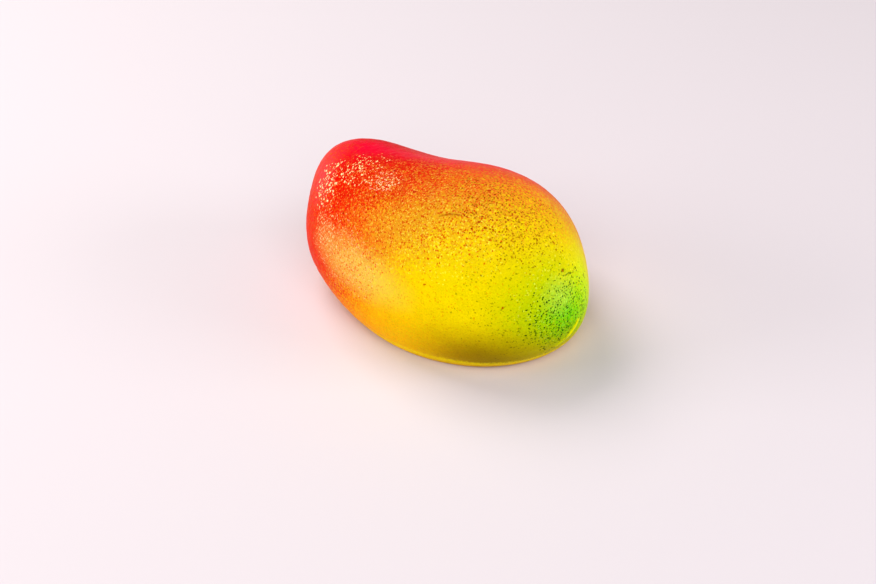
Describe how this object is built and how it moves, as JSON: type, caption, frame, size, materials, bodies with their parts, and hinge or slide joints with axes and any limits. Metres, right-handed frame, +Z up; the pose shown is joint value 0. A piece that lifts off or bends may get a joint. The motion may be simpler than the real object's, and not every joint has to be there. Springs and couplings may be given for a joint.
{
  "type": "mango-shaped mousse dessert",
  "caption": "Mango-shaped mousse dessert: a smooth cast fruit body with a slim red end and a broad green end, airbrushed red to yellow to green, resting on its flat underside.",
  "frame": {"origin": "on the flat underside, below the middle of the outline", "axes": "+X along the fruit from the slim red end to the broad green end, +Z up, -Y towards the full golden cheek"},
  "size_m": [0.0948, 0.0626, 0.049],
  "materials": {
    "airbrushed_skin": "satin cocoa-butter spray coat with a fine velvet grain and tiny specks, red and crimson at the slim end, golden yellow on the near cheek, green at the broad end"
  },
  "bodies": {
    "root": {"mango": "airbrushed_skin"}
  },
  "joints": []
}
